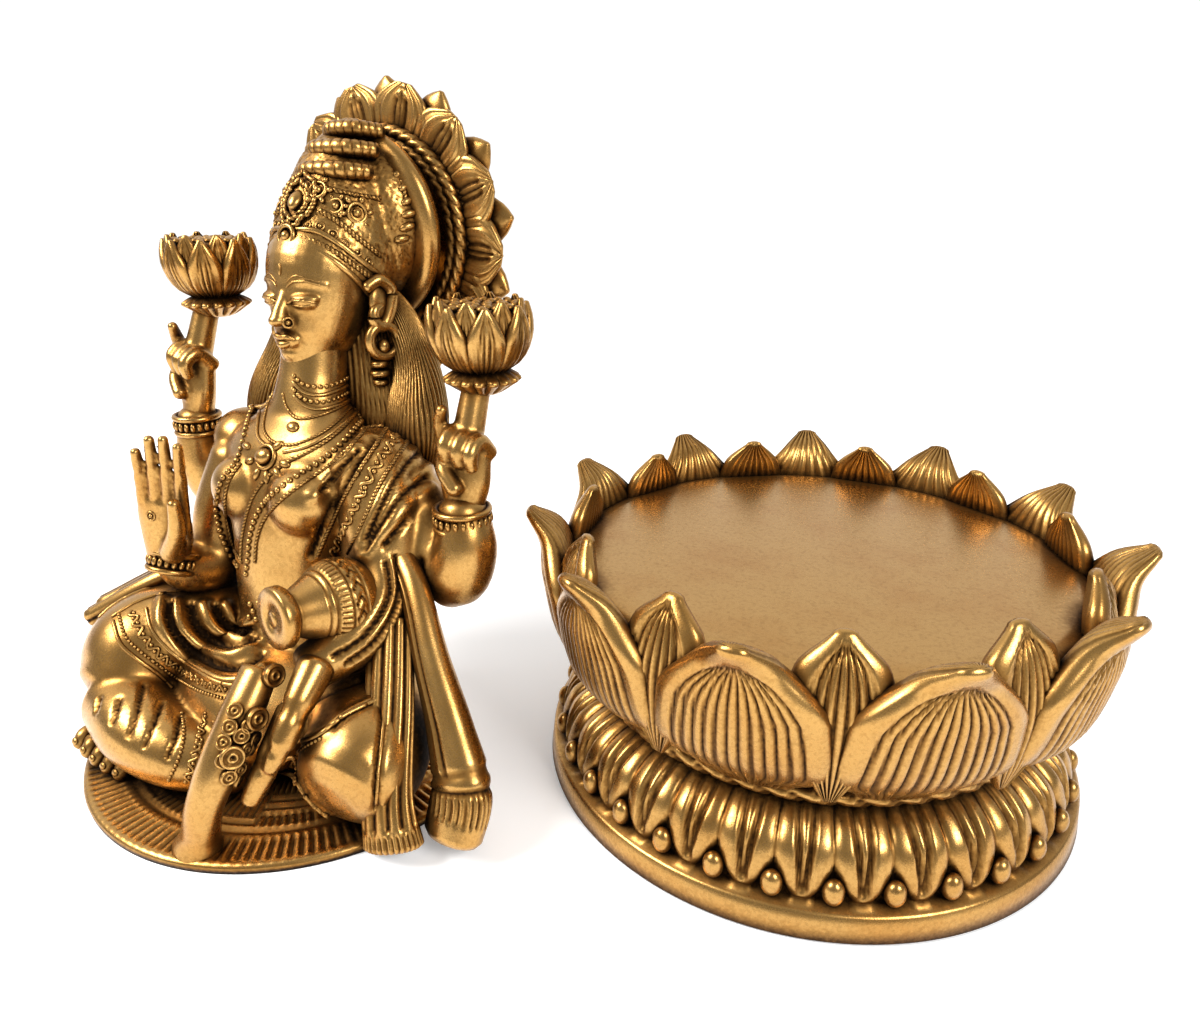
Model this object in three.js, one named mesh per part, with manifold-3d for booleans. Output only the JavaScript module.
// A cast brass Lakshmi, seated on her plate, standing beside the double lotus plinth that she
// lifts off. Millimetres, +Z up. The origin is the centre of the round front of the plate, on
// the surface that both castings stand on. The figure faces -Y, and +X is her left.

import * as THREE from 'three';
import { mergeVertices } from 'three/addons/utils/BufferGeometryUtils.js';
import Module from 'manifold-3d';

// Figure: all that is free-form is in hundredths of her height
const figureHeight = 200;
const percent = figureHeight / 100;

// Plate that carries the figure: round in front, flatter behind, and loose in the plinth's seat
const plateRadius = 67.2;
const plateBackDepth = 28;
const plateThickness = 2.8;
const seatClearance = 1.4;

// Plinth, from the ground up
const baseRadius = 80.5;
const bandHeight = 8.2;
const bandSetBack = 2.4;
const skirtTop = 27;
const ropeHeight = 31.4;
const ropeRadius = 64;
const ropeThickness = 2.4;
const bowlFoot = 34.5;
const seatHeight = 67;
const rimWall = 6;
const petalOverhang = 18.4;
const petalRise = 12;
const innerPetalRise = 14;
const beadRadius = 3;

// How many of each there are
const largePetals = 11;
const skirtPetals = 33;
const lotusPetals = 8;
const haloPetals = 13;

// Where the plinth stands beside the figure, and where its first petal and bead are
const gapBeside = 7.4;
const plinthBearing = THREE.MathUtils.degToRad(26.7);
const firstPetalAngle = THREE.MathUtils.degToRad(44.75);
const firstBeadAngle = THREE.MathUtils.degToRad(41.9);

const seatRadius = plateRadius + seatClearance;
const rimRadius = seatRadius + rimWall;
const petalReach = seatRadius + petalOverhang;
const plinthDistance = plateRadius + gapBeside + petalReach;

// Clearing slivers: how far joined faces may shift, the least area, and how alike a face must
// face before and after
const joinSlack = 0.25;
const sliverArea = 1e-3;
const leastTurn = 0.3;

const wasm = await Module();
wasm.setup();

const deg = THREE.MathUtils.degToRad;
const vec = ([x, y, z]) => new THREE.Vector3(x, y, z);
const range = (count) => [...Array(count).keys()];

// A bent, tapering form. Each station is x, y, z and the two half-widths there, and across is
// the direction of the first half-width. Angle 0 is a quarter turn from it.
class Form {
  constructor(stations, across = [1, 0, 0]) {
    this.spine = new THREE.CatmullRomCurve3(stations.map(vec));
    this.girth = new THREE.CatmullRomCurve3(
      stations.map(([, , , a, b = a]) => new THREE.Vector3(a, b, 0)),
    );
    this.across = vec(across);
  }

  // The point of the skin at a share of the length and an angle round it, lifted off a little.
  skin(share, angle, lift = 0) {
    const tangent = this.spine.getTangent(share);
    const side = this.across.clone().addScaledVector(tangent, -this.across.dot(tangent)).normalize();
    const front = tangent.clone().cross(side);
    const girth = this.girth.getPoint(share);
    return this.spine
      .getPoint(share)
      .addScaledVector(side, Math.sin(angle) * (girth.x + lift))
      .addScaledVector(front, Math.cos(angle) * (girth.y + lift));
  }

  // The closed solid, with its ends domed by a share of their half-width.
  solid(sides, steps, dome = 0.5) {
    const shape = new THREE.CylinderGeometry(1, 1, 1, sides, steps);
    const place = shape.attributes.position;
    for (let i = 0; i < place.count; i += 1) {
      const share = 0.5 - place.getY(i);
      const x = place.getX(i);
      const z = place.getZ(i);
      const point = this.skin(share, Math.atan2(x, z));
      if (Math.hypot(x, z) < 0.5) {
        const outward = (share < 0.5 ? -dome : dome) * this.girth.getPoint(share).x;
        point.copy(this.spine.getPoint(share));
        point.addScaledVector(this.spine.getTangent(share), outward);
      }
      place.setXYZ(i, point.x, point.y, point.z);
    }
    return shape;
  }
}

const limb = (stations, sides = 5, steps = 2, across = [1, 0, 0], dome = 0.5) =>
  new Form(stations, across).solid(sides, steps, dome);

// A cord or raised fold of one thickness through the points given.
function cord(points, thickness, sides = 3, steps = points.length) {
  const stations = points.map((p) => [p.x ?? p[0], p.y ?? p[1], p.z ?? p[2], thickness]);
  const run = vec(stations.at(-1)).sub(vec(stations[0]));
  const across = Math.abs(run.z) > Math.abs(run.x) ? [1, 0, 0] : [0, 0, 1];
  return limb(stations, sides, steps, across, 0.3);
}

const turnedBy = (turn) =>
  new THREE.Matrix4().makeRotationFromEuler(new THREE.Euler(...turn.map(deg), 'ZYX'));

function ball(centre, radii, width = 5, height = 4, turn = [0, 0, 0]) {
  return new THREE.SphereGeometry(1, width, height)
    .rotateX(Math.PI / 2)
    .scale(...radii)
    .applyMatrix4(turnedBy(turn))
    .translate(...centre);
}

// A turned shape about the Z axis, from an outline of radius and height. A third number makes
// every other segment swell and the ones between shrink by that share, into lobes.
function turned(outline, segments) {
  const points = outline.map(([r, z]) => new THREE.Vector2(r, z));
  const shape = new THREE.LatheGeometry(points, segments).rotateX(Math.PI / 2);
  const place = shape.attributes.position;
  for (let i = 0; i < place.count; i += 1) {
    const ridge = Math.floor(i / outline.length) % 2 ? -1 : 1;
    const swell = 1 + ridge * (outline[i % outline.length][2] ?? 0);
    place.setXY(i, place.getX(i) * swell, place.getY(i) * swell);
  }
  return shape;
}

function ring(centre, radius, thickness, segments, turn = [0, 0, 0], sides = 4) {
  return new THREE.TorusGeometry(radius, thickness, sides, segments)
    .applyMatrix4(turnedBy(turn))
    .translate(...centre);
}

// A ring of pointed petals cut from one plate, standing in the XZ plane and facing -Y.
function petalRing(count, innerRadius, outerRadius, depth, turn) {
  const step = (2 * Math.PI) / count;
  const length = outerRadius - innerRadius;
  const corners = [[0, 0.06], [0.18, 0.66], [0.5, 1], [0.82, 0.66]];
  const points = range(count).flatMap((i) =>
    corners.map(([along, out]) => {
      const angle = turn + (i + along - 0.5) * step;
      const radius = innerRadius + length * out;
      return new THREE.Vector2(radius * Math.sin(angle), radius * Math.cos(angle));
    }),
  );
  const outline = new THREE.Shape(points);
  return new THREE.ExtrudeGeometry(outline, { depth, bevelEnabled: false }).rotateX(Math.PI / 2);
}

function toSolid(geometry) {
  const bare = new THREE.BufferGeometry();
  bare.setAttribute('position', geometry.getAttribute('position'));
  bare.setIndex(geometry.index);
  const merged = mergeVertices(bare, 1e-4);
  return new wasm.Manifold(
    new wasm.Mesh({
      numProp: 3,
      vertProperties: new Float32Array(merged.attributes.position.array),
      triVerts: new Uint32Array(merged.index.array),
    }),
  );
}

const fuse = (geometries) => geometries.map(toSolid).reduce((whole, piece) => whole.add(piece));

function toGeometry(solid) {
  const mesh = solid.getMesh();
  const geometry = new THREE.BufferGeometry();
  geometry.setAttribute('position', new THREE.BufferAttribute(mesh.vertProperties, 3));
  geometry.setIndex(new THREE.BufferAttribute(mesh.triVerts, 1));
  return geometry;
}

// Joining leaves many slivers. This walks each corner onto a neighbour wherever no face round
// it shifts by more than the slack, turns over, or leaves the surface open.
class Trimmer {
  constructor(geometry) {
    const place = geometry.getAttribute('position');
    const index = geometry.index.array;
    this.points = range(place.count).map((i) => new THREE.Vector3().fromBufferAttribute(place, i));
    this.faces = range(index.length / 3).map((f) => [index[3 * f], index[3 * f + 1], index[3 * f + 2]]);
    this.around = this.points.map(() => new Set());
    this.faces.forEach((face, f) => face.forEach((corner) => this.around[corner].add(f)));
    this.drift = this.points.map(() => 0);
  }

  neighbours(corner) {
    const found = new Set([...this.around[corner]].flatMap((f) => this.faces[f]));
    found.delete(corner);
    return found;
  }

  normal([a, b, c]) {
    const { points } = this;
    return points[b].clone().sub(points[a]).cross(points[c].clone().sub(points[a]));
  }

  // How far the faces round one corner shift when it moves onto another, or null if it can't.
  shift(from, to, beside) {
    const shared = [...this.around[from]].filter((f) => this.faces[f].includes(to));
    const common = [...this.neighbours(to)].filter((corner) => beside.has(corner));
    if (shared.length !== 2 || common.length !== 2) return null;
    const step = this.points[to].clone().sub(this.points[from]);
    let worst = 0;
    for (const f of this.around[from]) {
      const before = this.normal(this.faces[f]).normalize();
      worst = Math.max(worst, Math.abs(before.dot(step)));
      if (!shared.includes(f)) {
        const after = this.normal(this.faces[f].map((corner) => (corner === from ? to : corner)));
        if (after.length() < sliverArea || after.normalize().dot(before) < leastTurn) return null;
      }
      if (worst + this.drift[from] > joinSlack) return null;
    }
    return worst + this.drift[from];
  }

  collapse(from, to, drift) {
    for (const f of this.around[from]) {
      if (this.faces[f].includes(to)) {
        this.faces[f].forEach((corner) => corner !== from && this.around[corner].delete(f));
        this.faces[f] = null;
      } else {
        this.faces[f] = this.faces[f].map((corner) => (corner === from ? to : corner));
        this.around[to].add(f);
      }
    }
    this.around[from].clear();
    this.drift[to] = Math.max(this.drift[to], drift);
  }

  // One pass over all corners; says how many went.
  pass() {
    let gone = 0;
    this.around.forEach((faces, from) => {
      if (!faces.size) return;
      const beside = this.neighbours(from);
      const options = [...beside]
        .map((to) => [this.shift(from, to, beside), to])
        .filter(([drift]) => drift !== null);
      if (!options.length) return;
      const [drift, to] = options.reduce((a, b) => (b[0] < a[0] ? b : a));
      this.collapse(from, to, drift);
      gone += 1;
    });
    return gone;
  }

  geometry() {
    while (this.pass() > 0);
    const kept = this.faces.filter((face) => face);
    const geometry = new THREE.BufferGeometry().setFromPoints(this.points);
    geometry.setIndex(kept.flat());
    return geometry;
  }
}

const trimmed = (geometry) => new Trimmer(geometry).geometry();

function plate() {
  const radius = plateRadius / percent;
  const outline = new THREE.Shape();
  outline.absarc(0, 0, radius, Math.PI, 2 * Math.PI, false);
  outline.absellipse(0, 0, radius, plateBackDepth / percent, 0, Math.PI, false);
  const depth = plateThickness / percent;
  return [new THREE.ExtrudeGeometry(outline, { depth, bevelEnabled: false, curveSegments: 10 })];
}

// The ground that all of the figure stands on, which cuts its folds and hems off flat
function ground() {
  const depth = 10;
  return new THREE.BoxGeometry(200, 200, depth).translate(0, 0, -depth / 2);
}

// Legs crossed flat under the skirt cloth, the right knee a little higher than the left
const rightThigh = new Form([
  [-7, 5, 12, 9, 8],
  [-15, -4, 15.4, 9.5, 8.8],
  [-20.6, -12.5, 14.6, 9.2, 9],
  [-20.6, -18, 11, 7.8, 7],
]);
const leftThigh = new Form([
  [8, 6, 10, 9, 8],
  [18, -3, 12, 9, 8.6],
  [25, -12, 10.6, 8.6, 8.6],
  [25.4, -16, 9.4, 7.8, 7.8],
]);

function legs() {
  const shin = [
    [-19, -19, 9, 6.6],
    [-11, -21.5, 8, 6.2],
    [-3, -21, 6.5, 5.4],
    [5, -18, 5, 4],
  ];
  return [
    rightThigh.solid(8, 4),
    leftThigh.solid(8, 4),
    limb(shin, 6, 3, [0, 0, 1]),
    ball([0, -5, 9.4], [18, 14, 10], 8, 5),
    ...tuckedFoot(),
  ];
}

// The left foot shows its toes under the right knee.
function tuckedFoot() {
  const toes = range(3).map((i) =>
    ball([-20 + 3.2 * i, -24.6 - 0.6 * i, 4.4 - 0.5 * i], [1.7, 2, 1.7], 5, 3),
  );
  return [limb([[-8, -22, 3.6, 3.4], [-19.6, -22, 4.2, 3]], 5, 1, [0, 0, 1]), ...toes];
}

// Raised folds of the skirt: hanging curves in the lap, the border over the right thigh, the
// slashed folds on the right shin, the pleats between the knees and the left knee's edge
function skirtFolds() {
  const lap = range(3).map((i) => {
    const forward = 3 * i;
    return cord(
      [
        [-12 + i, -4 - forward, 21.4 - 1.2 * i],
        [-5, -9.6 - forward, 17.8 - 0.9 * i],
        [4, -9.6 - forward, 17 - 0.9 * i],
        [10 - i, -7 - forward, 18.6 - i],
      ],
      1.5,
      3,
      3,
    );
  });
  const overThigh = range(5).map((k) => rightThigh.skin(0.42 + 0.05 * k, deg(-160 + 34 * k), 0.1));
  const slashes = range(3).map((i) => {
    const x = -17.6 + 4.6 * i;
    const path = [
      [x, -25.4 - 0.8 * i, 13 - i],
      [x + 0.6, -27.6 - 0.2 * i, 8],
      [x + 1.2, -26.6, 4],
    ];
    return cord(path, 1.3, 3, 2);
  });
  const pleats = range(3).map((i) =>
    limb([[-5 + 3 * i, -24, 11, 1.4, 2.6], [-7 + 3.8 * i, -28.6, 1, 2, 1.8]], 5, 1),
  );
  const kneeEdge = [
    [15, -17, 16],
    [12.6, -24, 12],
    [13.6, -27.6, 6],
    [18, -27.6, 2.4],
  ];
  return [...lap, cord(overThigh, 1.4), ...slashes, ...pleats, cord(kneeEdge, 1.5, 3, 4)];
}

// Trunk from the neck down; angle 0 is straight ahead and angles grow to her left
const trunk = new Form([
  [0, 9, 61, 4.3, 4.3],
  [0, 8.2, 55, 4.5, 4.5],
  [0, 7.5, 50.5, 10, 5.8],
  [0, 5.6, 45.5, 15, 7.6],
  [0, 3.4, 39, 13.4, 8.2],
  [0, 1.4, 31.5, 10.4, 7.8],
  [0, 0.6, 25, 10, 7.8],
  [0, 2, 17, 13, 9.5],
  [0, 3, 9, 14, 10],
]);

// A path of share, angle and lift, as points on the trunk
const onTrunk = (path) => path.map(([share, angle, lift]) => trunk.skin(share, deg(angle), lift));

function torso() {
  const sides = [-1, 1].flatMap((side) => [
    ball([6.4 * side, -2.4, 41.2], [5.6, 4.8, 5.4], 7, 4),
    ball([14.6 * side, 6.6, 46.2], [5.2, 5.4, 5], 6, 4),
  ]);
  return [trunk.solid(12, 7, 0), ...sides];
}

// The sari's broad fall from the left shoulder to the elbow, with its raised pleats
function sari() {
  const pleats = range(3).map((i) => {
    const path = [
      [0.26, 64 - 10 * i, 1],
      [0.4, 52 - 12 * i, 2.6],
      [0.53, 60 - 14 * i, 1],
      [0.66, 70 - 14 * i, 0.4],
    ];
    return cord(onTrunk(path), 1.3, 3, 3);
  });
  const fall = [
    [13, 5.4, 47, 5.4, 5],
    [16.6, 3.6, 39, 6.4, 5],
    [17.4, 1.8, 31, 6.4, 4.6],
    [16.4, 1, 24, 5, 4],
  ];
  return [limb(fall, 7, 3), ...pleats];
}

// Two neck rings, a looped chain and the long garland that meets in a point at the waist
function necklaces() {
  const chain = (share, drop, reach) => {
    const path = range(5).map((i) => {
      const across = i / 2 - 1;
      return [share + drop * (1 - across * across), reach * across, 0.2];
    });
    return cord(onTrunk(path), 1.1);
  };
  const garland = [-1, 1].map((side) => {
    const path = [
      [0.26, 50 * side, 0.4],
      [0.38, 36 * side, 3],
      [0.48, 22 * side, 2.6],
      [0.62, 11 * side, 0.3],
      [0.72, 2 * side, 0.2],
    ];
    return cord(onTrunk(path), 1.2, 3, 4);
  });
  const belt = range(5).map((i) => [0.82, -90 + 45 * i, 0.2]);
  return [
    ring([0, 8.4, 56.4], 4.6, 0.9, 8, [12, 0, 0], 3),
    chain(0.23, 0.1, 60),
    chain(0.25, 0.16, 46),
    ball(trunk.skin(0.44, 0, 1.4).toArray(), [2.6, 1.6, 2.4], 6, 3),
    ...garland,
    cord(onTrunk(belt), 1.4),
  ];
}

// Head with a calm, plain face, leaning back a little, and the ears with large rings in them
function head() {
  const ears = [-1, 1].flatMap((side) => [
    ball([side * 8.6, 15.2, 67], [1.4, 1.9, 3.2], 5, 3),
    ring([side * 9.4, 14.6, 63.6], 2.3, 0.9, 6, [20, 90, 0], 4),
    ball([side * 9, 14.2, 59.4], [1.6, 1.6, 1.8], 4, 3),
  ]);
  const nose = [
    [0, 4.6, 70.4, 0.8, 0.7],
    [0, 3, 67.2, 1, 0.9],
    [0, 2.6, 65.6, 1.6, 1.1],
  ];
  return [
    ball([0, 13.2, 69], [9, 9, 10.2], 10, 7),
    ball([0, 9.4, 64.4], [6.6, 6.2, 6.4], 8, 5),
    limb(nose, 4, 2),
    ball([0, 3.6, 62.6], [1.9, 0.9, 0.8], 5, 3),
    ...[-1, 1].map((side) => ball([side * 3.1, 4.7, 68.6], [1.8, 0.9, 0.9], 5, 3)),
    ...ears,
  ];
}

// Tall crown leaning back, its beaded brim, front jewel, stacked bars and top loop
const dome = new Form([
  [0, 22.8, 92.4, 2.6, 2.4],
  [0, 22.2, 90, 5, 4.6],
  [0, 20.8, 86, 7.4, 7.2],
  [0, 19, 80.6, 8.9, 8.8],
  [0, 17, 75.4, 9.4, 9.3],
  [0, 14.8, 70.8, 9.2, 9.2],
]);

function crown() {
  const brim = range(7).map((i) => dome.skin(0.97, deg(-108 + 36 * i), 0.4));
  const bars = range(3).map((i) => {
    const end = [4.6 - i, 13.6 + 1.8 * i, 84.8 + 2.7 * i];
    const middle = [0, 12 + 2 * i, 85.2 + 2.7 * i];
    return cord([[-end[0], end[1], end[2]], middle, end], 1.2, 4, 2);
  });
  const sideBands = [-1, 1].map((side) => {
    const path = [
      [0.66, 18],
      [0.78, 52],
      [0.88, 84],
    ];
    return cord(path.map(([share, angle]) => dome.skin(share, deg(angle * side), 0.3)), 1, 3, 2);
  });
  return [
    dome.solid(10, 6, 0.4),
    cord(brim, 1.3, 4, 8),
    ball([0, 9.4, 80.8], [3, 1.6, 3.7], 6, 4, [20, 0, 0]),
    ball([0, 6.4, 76], [1.5, 1.3, 1.5], 4, 3),
    ...bars,
    ...sideBands,
  ];
}

// The smooth crescent collar that stands up behind the crown
function crownCollar() {
  const face = new THREE.Shape();
  face.absarc(0, 0, 14.6, deg(-60), deg(240), false);
  return [
    new THREE.ExtrudeGeometry(face, { depth: 3, bevelEnabled: false, curveSegments: 11 })
      .rotateX(Math.PI / 2 + deg(4))
      .translate(0, 24.6, 78),
  ];
}

// Long hair over the shoulders and down the back
function hair() {
  const locks = [-1, 1].map((side) => {
    const lock = [
      [side * 8.4, 17.5, 70, 2.4, 3.6],
      [side * 11, 17.6, 60, 4, 4.4],
      [side * 13.4, 16.6, 50, 5, 4.8],
      [side * 13.6, 14, 41, 4, 4],
    ];
    return limb(lock, 6, 3);
  });
  const back = [
    [0, 19, 74, 8.5, 4.5],
    [0, 18, 62, 9.5, 5.4],
    [0, 15.6, 48, 13, 6],
    [0, 11.6, 34, 11, 5],
    [0, 9, 22, 7, 4],
  ];
  return [limb(back, 7, 4), ...locks];
}

// Petal halo behind the crown: a disc, its rope ring, front petals and thick tips behind them
function halo() {
  const outline = [[0, -1], [12.8, -1], [14.2, -2.6], [15.8, -1], [15.8, 2.6], [0, 2.6]];
  const pieces = [
    turned(outline, 2 * haloPetals).rotateX(Math.PI / 2).rotateY(Math.PI),
    petalRing(haloPetals, 14.4, 21.4, 1.8, Math.PI / haloPetals),
    petalRing(haloPetals, 14.4, 23, 2.8, 0).translate(0, 2.2, 0),
  ];
  return [
    ...pieces.map((piece) => piece.translate(0, 28.6, 76.9)),
    limb([[0, 20, 72, 8, 7], [0, 28.6, 70, 7, 6]], 6, 1, [1, 0, 0], 0.1),
  ];
}

// An open hand with its wrist at the origin, the fingers up +Z, the palm towards -Y and the
// thumb on the side given
function openHand(thumbSide) {
  const fingers = [5.6, 7.2, 7.6, 6.6].map((length, i) => {
    const x = 1.8 * thumbSide * (i - 1.5);
    return limb([[x, 0, 8.6, 1.1], [x * 1.06, -0.6, 9 + length, 0.9]], 4, 1, [1, 0, 0], 0.6);
  });
  const palm = [
    [0, 0, -1, 2.8, 2.3],
    [0.4 * thumbSide, 0, 3.4, 4, 2.2],
    [0, 0, 7.6, 4.2, 1.7],
    [0, 0, 9.8, 3.6, 1.3],
  ];
  const thumb = [
    [2 * thumbSide, -1.2, 1.8, 2],
    [3.7 * thumbSide, -2.6, 6, 1.4],
    [3.3 * thumbSide, -2.8, 9.6, 0.9],
  ];
  return [limb(palm, 6, 3, [1, 0, 0], 0.2), limb(thumb, 4, 2, [1, 0, 0], 0.6), ...fingers];
}

// A hand closed on a stem, in the same place, with its thumb on the right side
function closedHand() {
  const palm = [
    [0, 0, -1, 2.8, 2.4],
    [0, 0, 3.6, 4, 2.4],
    [0, 0.2, 8, 3.8, 2.4],
  ];
  const curled = [
    [3.4, 0, 8.4, 1.7],
    [2.4, -3.2, 9.6, 1.7],
    [-1.6, -3.6, 9.6, 1.5],
  ];
  const forefinger = [
    [-2.6, 0, 7, 1.3],
    [-3.2, -1.6, 11, 1.1],
    [-2, -3, 13.4, 0.8],
  ];
  const thumb = [
    [-2.4, -1, 3.4, 1.5],
    [-2.6, -3.4, 6.6, 1.2],
    [-0.6, -4, 9, 0.9],
  ];
  return [
    limb(palm, 6, 2, [1, 0, 0], 0.3),
    limb(curled, 4, 2, [0, 0, 1]),
    limb(forefinger, 4, 2, [1, 0, 0], 0.6),
    limb(thumb, 4, 1, [1, 0, 0], 0.6),
  ];
}

const placed = (pieces, at, turn = [0, 0, 0]) =>
  pieces.map((piece) => piece.clone().applyMatrix4(turnedBy(turn)).translate(...at));

const bangles = (at, radius, turn) =>
  placed([turned([[0, -2], [radius, -2], [radius + 0.9, 0], [radius, 2], [0, 2]], 7)], at, turn);

// Bloom on its stem above each raised hand: neck, leafy collar, petalled bud and seed top
function lotus(at) {
  const outline = [
    [0, -8.6],
    [2.2, -8.2],
    [5, -6.4, 0.16],
    [3.6, -4.6],
    [6.3, -1.8, 0.07],
    [6.8, 1, 0.08],
    [5.2, 3.6, 0.12],
    [0, 3.2],
  ];
  return turned(outline, 2 * lotusPetals).translate(...at);
}

// Raised arms, from the shoulder out to the elbow and straight up to the flower
function raisedArms() {
  const right = [
    [-13, 8.5, 46, 4.8],
    [-20, 9.4, 40, 4.8],
    [-26, 8.6, 35.2, 4.7],
    [-28, 7.6, 40, 4.3],
    [-27.8, 7.4, 48, 3.1],
  ];
  const left = [
    [13, 8.5, 46, 4.8],
    [20, 8.6, 39, 5],
    [27.4, 6.2, 31.6, 5],
    [29.6, 6.6, 36, 4.6],
    [28.8, 7.4, 42, 3.4],
  ];
  return [
    limb(right, 6, 6, [0, 1, 0]),
    ...bangles([-27.9, 7.4, 47], 3.4),
    ...placed(closedHand(), [-27.8, 8, 49], [-8, 0, -10]),
    limb([[-27.4, 8, 55, 2.4], [-26.2, 11.4, 65, 2]], 5, 1),
    lotus([-25, 12.7, 72.2]),
    limb(left, 6, 6, [0, 1, 0]),
    ...bangles([28.9, 7.2, 40.4], 3.7),
    ...placed(closedHand(), [28.8, 8, 42.4], [-8, 0, 4]),
    limb([[29, 8, 48.4, 2.4], [29.2, 11.6, 58.4, 2]], 5, 1),
    lotus([29.4, 12.7, 65.6]),
  ];
}

// Lower right arm with its open palm raised in blessing
function blessingArm() {
  const arm = [
    [-13, 4, 44, 4.6],
    [-15.6, 1, 35, 4.6],
    [-15.6, -1.6, 27.4, 4.7],
    [-15.6, -6.6, 27.6, 3.9],
    [-15.8, -9.4, 30.4, 3],
  ];
  return [
    limb(arm, 6, 6),
    ...bangles([-15.8, -9, 29.8], 3.3, [-24, 0, 0]),
    ...placed(openHand(1), [-16.2, -9.8, 31], [6, 9, 22]),
  ];
}

// Lower left arm behind the pot, and the hand that lets the coins fall
function givingArm() {
  const arm = [
    [15, 3, 40, 4.4],
    [20.4, 0, 31, 4.4],
    [21, -6, 26.4, 4],
    [17.4, -13, 23, 3.4],
  ];
  const longFinger = [
    [17.4, -14, 23, 2.6],
    [16.6, -19.6, 19.6, 2.1],
    [15.6, -23.4, 14.6, 1.8],
    [14, -25.4, 9.6, 1],
  ];
  const otherFinger = [
    [14.4, -15, 22, 2.4],
    [11.4, -21, 17.6, 2],
    [9, -25, 12.4, 1.4],
  ];
  return [limb(arm, 6, 4, [0, 0, 1]), limb(longFinger, 5, 3), limb(otherFinger, 5, 2)];
}

// The tipped pot: round belly, narrow neck and a broad flat mouth
function pot() {
  const outline = [
    [0, -6],
    [3.6, -5.4],
    [5.6, -2.8],
    [6.2, 0],
    [5.9, 1.6],
    [4, 4.6],
    [2.8, 7],
    [4.2, 8],
    [4.2, 9.6],
    [0, 9.6],
  ];
  return turned(outline, 10).rotateX(deg(84)).rotateZ(deg(-12)).translate(17, -6.6, 30.2);
}

// Coins run down from the pot in a column that flares out on the plate
function coinStream() {
  const column = new Form([
    [12.6, -16.6, 25, 3, 2.4],
    [9.6, -22.6, 17.6, 3.3, 2.8],
    [8.2, -26, 10, 3, 2.8],
    [8.6, -27.6, 5, 2.2, 2.2],
    [9.2, -28, 1, 3.8, 3.2],
  ]);
  const coins = range(5).flatMap((i) => {
    const at = column.skin(0.1 + 0.12 * i, deg(i % 2 ? 24 : -18), 0.2);
    return placed([new THREE.CylinderGeometry(2, 2, 1.6, 6)], at.toArray(), [48 - 6 * i, 0, 0]);
  });
  return [column.solid(6, 5, 0.1), ...coins];
}

// The ends of the shawl: a short one by the right elbow and a long one falling from the left
function shawl() {
  const longEnd = [
    [24.8, 0.4, 32.4, 2.4, 2],
    [30.2, -3.4, 24, 3, 2.4],
    [35.4, -6.4, 15.4, 4.2, 3],
    [38.8, -9, 8.4, 5.2, 3.6],
    [39, -11.4, 3.4, 5, 3.4],
  ];
  const drape = range(2).map((i) => {
    const path = [
      [22 + 3 * i, -3 - i, 27 - i],
      [26.4 + 3 * i, -9 - i, 18],
      [30 + 2.6 * i, -15 + 0.6 * i, 8],
      [32 + 2.6 * i, -17 + 1.4 * i, 2.2],
    ];
    return cord(path, 2.2, 4, 3);
  });
  const shortEnd = range(2).map((i) => {
    const path = [
      [-15 - i, 1 - 2 * i, 27.5, 2],
      [-22 - i, -4.6 - 3 * i, 25 - i, 2.1],
      [-32 - 0.6 * i, -12.4 - 2 * i, 19.4 - 1.4 * i, 1.8],
    ];
    return limb(path, 4, 3, [0, 0, 1]);
  });
  return [limb(longEnd, 7, 4, [1, -0.4, 0], 0.3), ...drape, ...shortEnd];
}

function lakshmi() {
  const whole = fuse([
    ...plate(),
    ...legs(),
    ...skirtFolds(),
    ...torso(),
    ...sari(),
    ...necklaces(),
    ...head(),
    ...crown(),
    ...crownCollar(),
    ...hair(),
    ...halo(),
    ...raisedArms(),
    ...blessingArm(),
    ...givingArm(),
    pot(),
    ...coinStream(),
    ...shawl(),
  ]);
  const standing = whole.subtract(toSolid(ground()));
  return trimmed(toGeometry(standing).scale(percent, percent, percent));
}

// A petal that bends round the plinth. Each station is radius, height, half-width along the
// ring and half-thickness.
function ringPetal(stations, angle, sides, steps) {
  const shape = new Form(stations.map(([r, z, w, t]) => [0, r, z, w, t])).solid(sides, steps, 0.4);
  const place = shape.attributes.position;
  for (let i = 0; i < place.count; i += 1) {
    const radius = place.getY(i);
    const around = angle - place.getX(i) / radius;
    place.setXYZ(i, radius * Math.cos(around), radius * Math.sin(around), place.getZ(i));
  }
  return shape;
}

const aroundRing = (count, first, make) =>
  range(count).map((i) => make(first + (2 * Math.PI * i) / count));

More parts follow.
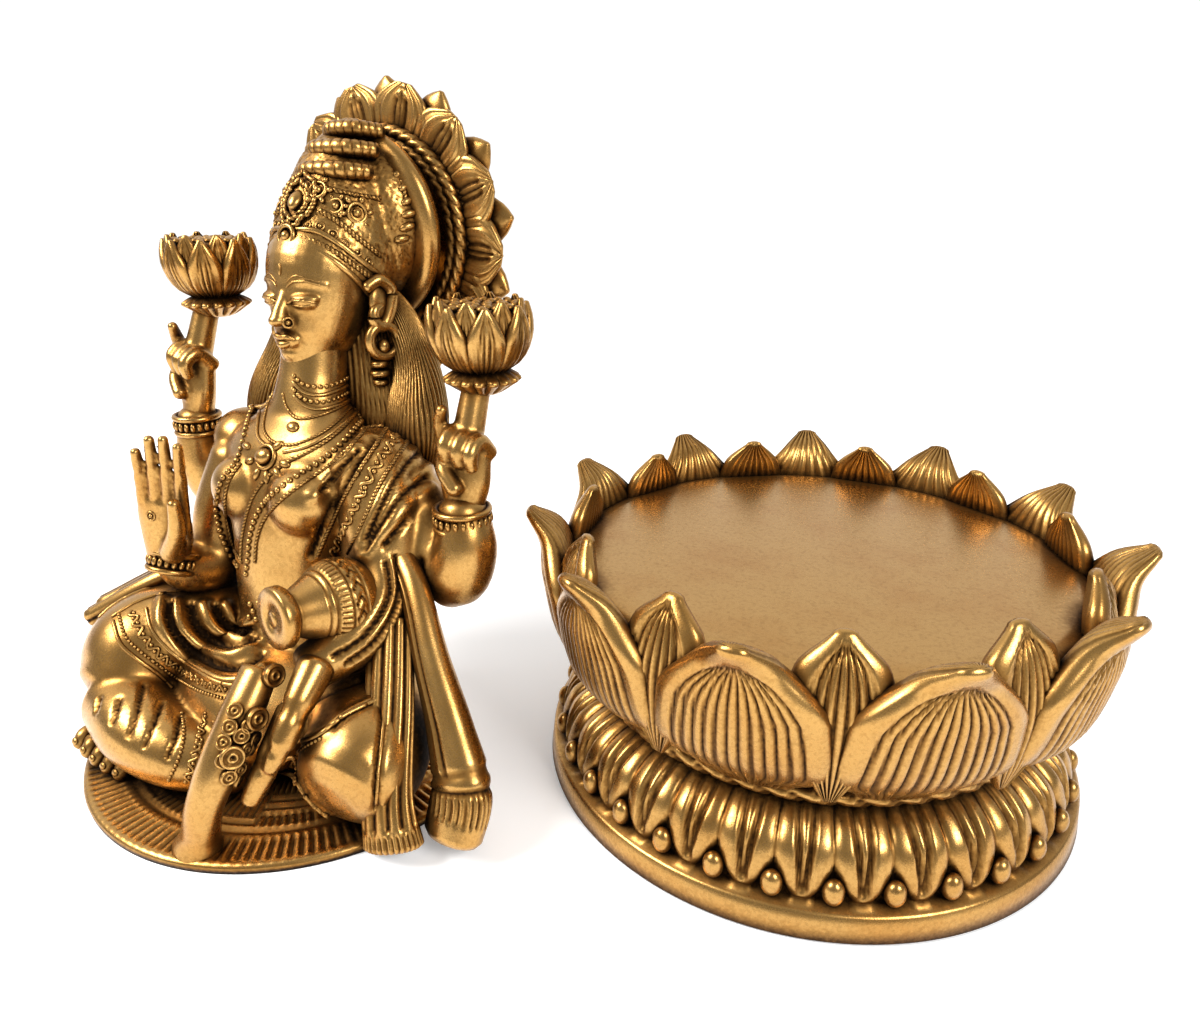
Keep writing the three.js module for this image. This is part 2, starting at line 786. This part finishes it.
// The turned body: band, skirt of narrow petals, rope, bowl and recessed top
function plinthBody() {
  const foot = baseRadius - bandSetBack;
  const outline = [
    [0, 0],
    [baseRadius, 0],
    [baseRadius - 0.8, bandHeight],
    [foot - 2, bandHeight + 0.4, -0.012],
    [foot - 1.4, bandHeight + 5, 0.018],
    [foot - 3, skirtTop - 8, 0.024],
    [foot - 7.4, skirtTop - 2.6, 0.018],
    [ropeRadius, skirtTop + 0.6],
    [ropeRadius + ropeThickness, ropeHeight, 0.01],
    [ropeRadius, ropeHeight + ropeThickness],
    [rimRadius + 1, seatHeight - 12],
    [rimRadius, seatHeight - 1],
    [seatRadius, seatHeight],
    [0, seatHeight],
  ];
  const firstPetal = firstBeadAngle - Math.PI / skirtPetals;
  return turned(outline, 2 * skirtPetals).rotateZ(firstPetal + Math.PI / 2);
}

// A bead stands between each two petals' tips.
function beads() {
  const foot = baseRadius - bandSetBack;
  return aroundRing(skirtPetals, firstBeadAngle, (angle) =>
    new THREE.OctahedronGeometry(1)
      .scale(beadRadius, beadRadius, beadRadius * 1.4)
      .translate(foot - 1.4, 0, bandHeight + beadRadius * 1.3)
      .rotateZ(angle),
  );
}

function bowlPetals() {
  const half = Math.PI / largePetals;
  const halfWidth = half * (rimRadius + 6);
  const tip = seatHeight + petalRise;
  const large = [
    [ropeRadius + 4, bowlFoot + 1.5, halfWidth * 0.5, 2.5],
    [rimRadius, seatHeight - 22, halfWidth * 0.93, 4],
    [rimRadius + 3, seatHeight - 6, halfWidth * 0.88, 4.6],
    [petalReach - 8, tip - 6, halfWidth * 0.42, 3.6],
    [petalReach - 1.6, tip, halfWidth * 0.1, 1.4],
  ];
  const inner = [
    [rimRadius, seatHeight - 22, halfWidth * 0.3, 3],
    [rimRadius, seatHeight - 6, halfWidth * 0.52, 4],
    [rimRadius - 2, seatHeight + 5, halfWidth * 0.42, 3.2],
    [seatRadius + 1.6, seatHeight + innerPetalRise - 1, halfWidth * 0.1, 1.2],
  ];
  return [
    ...aroundRing(largePetals, firstPetalAngle, (angle) => ringPetal(large, angle, 6, 4)),
    ...aroundRing(largePetals, firstPetalAngle + half, (angle) => ringPetal(inner, angle, 4, 3)),
  ];
}

const plinth = () => trimmed(toGeometry(fuse([plinthBody(), ...beads(), ...bowlPetals()])));

const agedBrass = () =>
  new THREE.MeshStandardMaterial({ color: 0xc9973f, roughness: 0.32, metalness: 1 });

function named(name, geometry) {
  const mesh = new THREE.Mesh(geometry, agedBrass());
  mesh.name = name;
  return mesh;
}

const part = new THREE.Group();
part.add(named('lakshmi_figure', lakshmi()));
const stand = new THREE.Group();
stand.position.set(
  plinthDistance * Math.cos(plinthBearing),
  plinthDistance * Math.sin(plinthBearing),
  0,
);
stand.add(named('lotus_plinth', plinth()));
part.add(stand);

export default part;
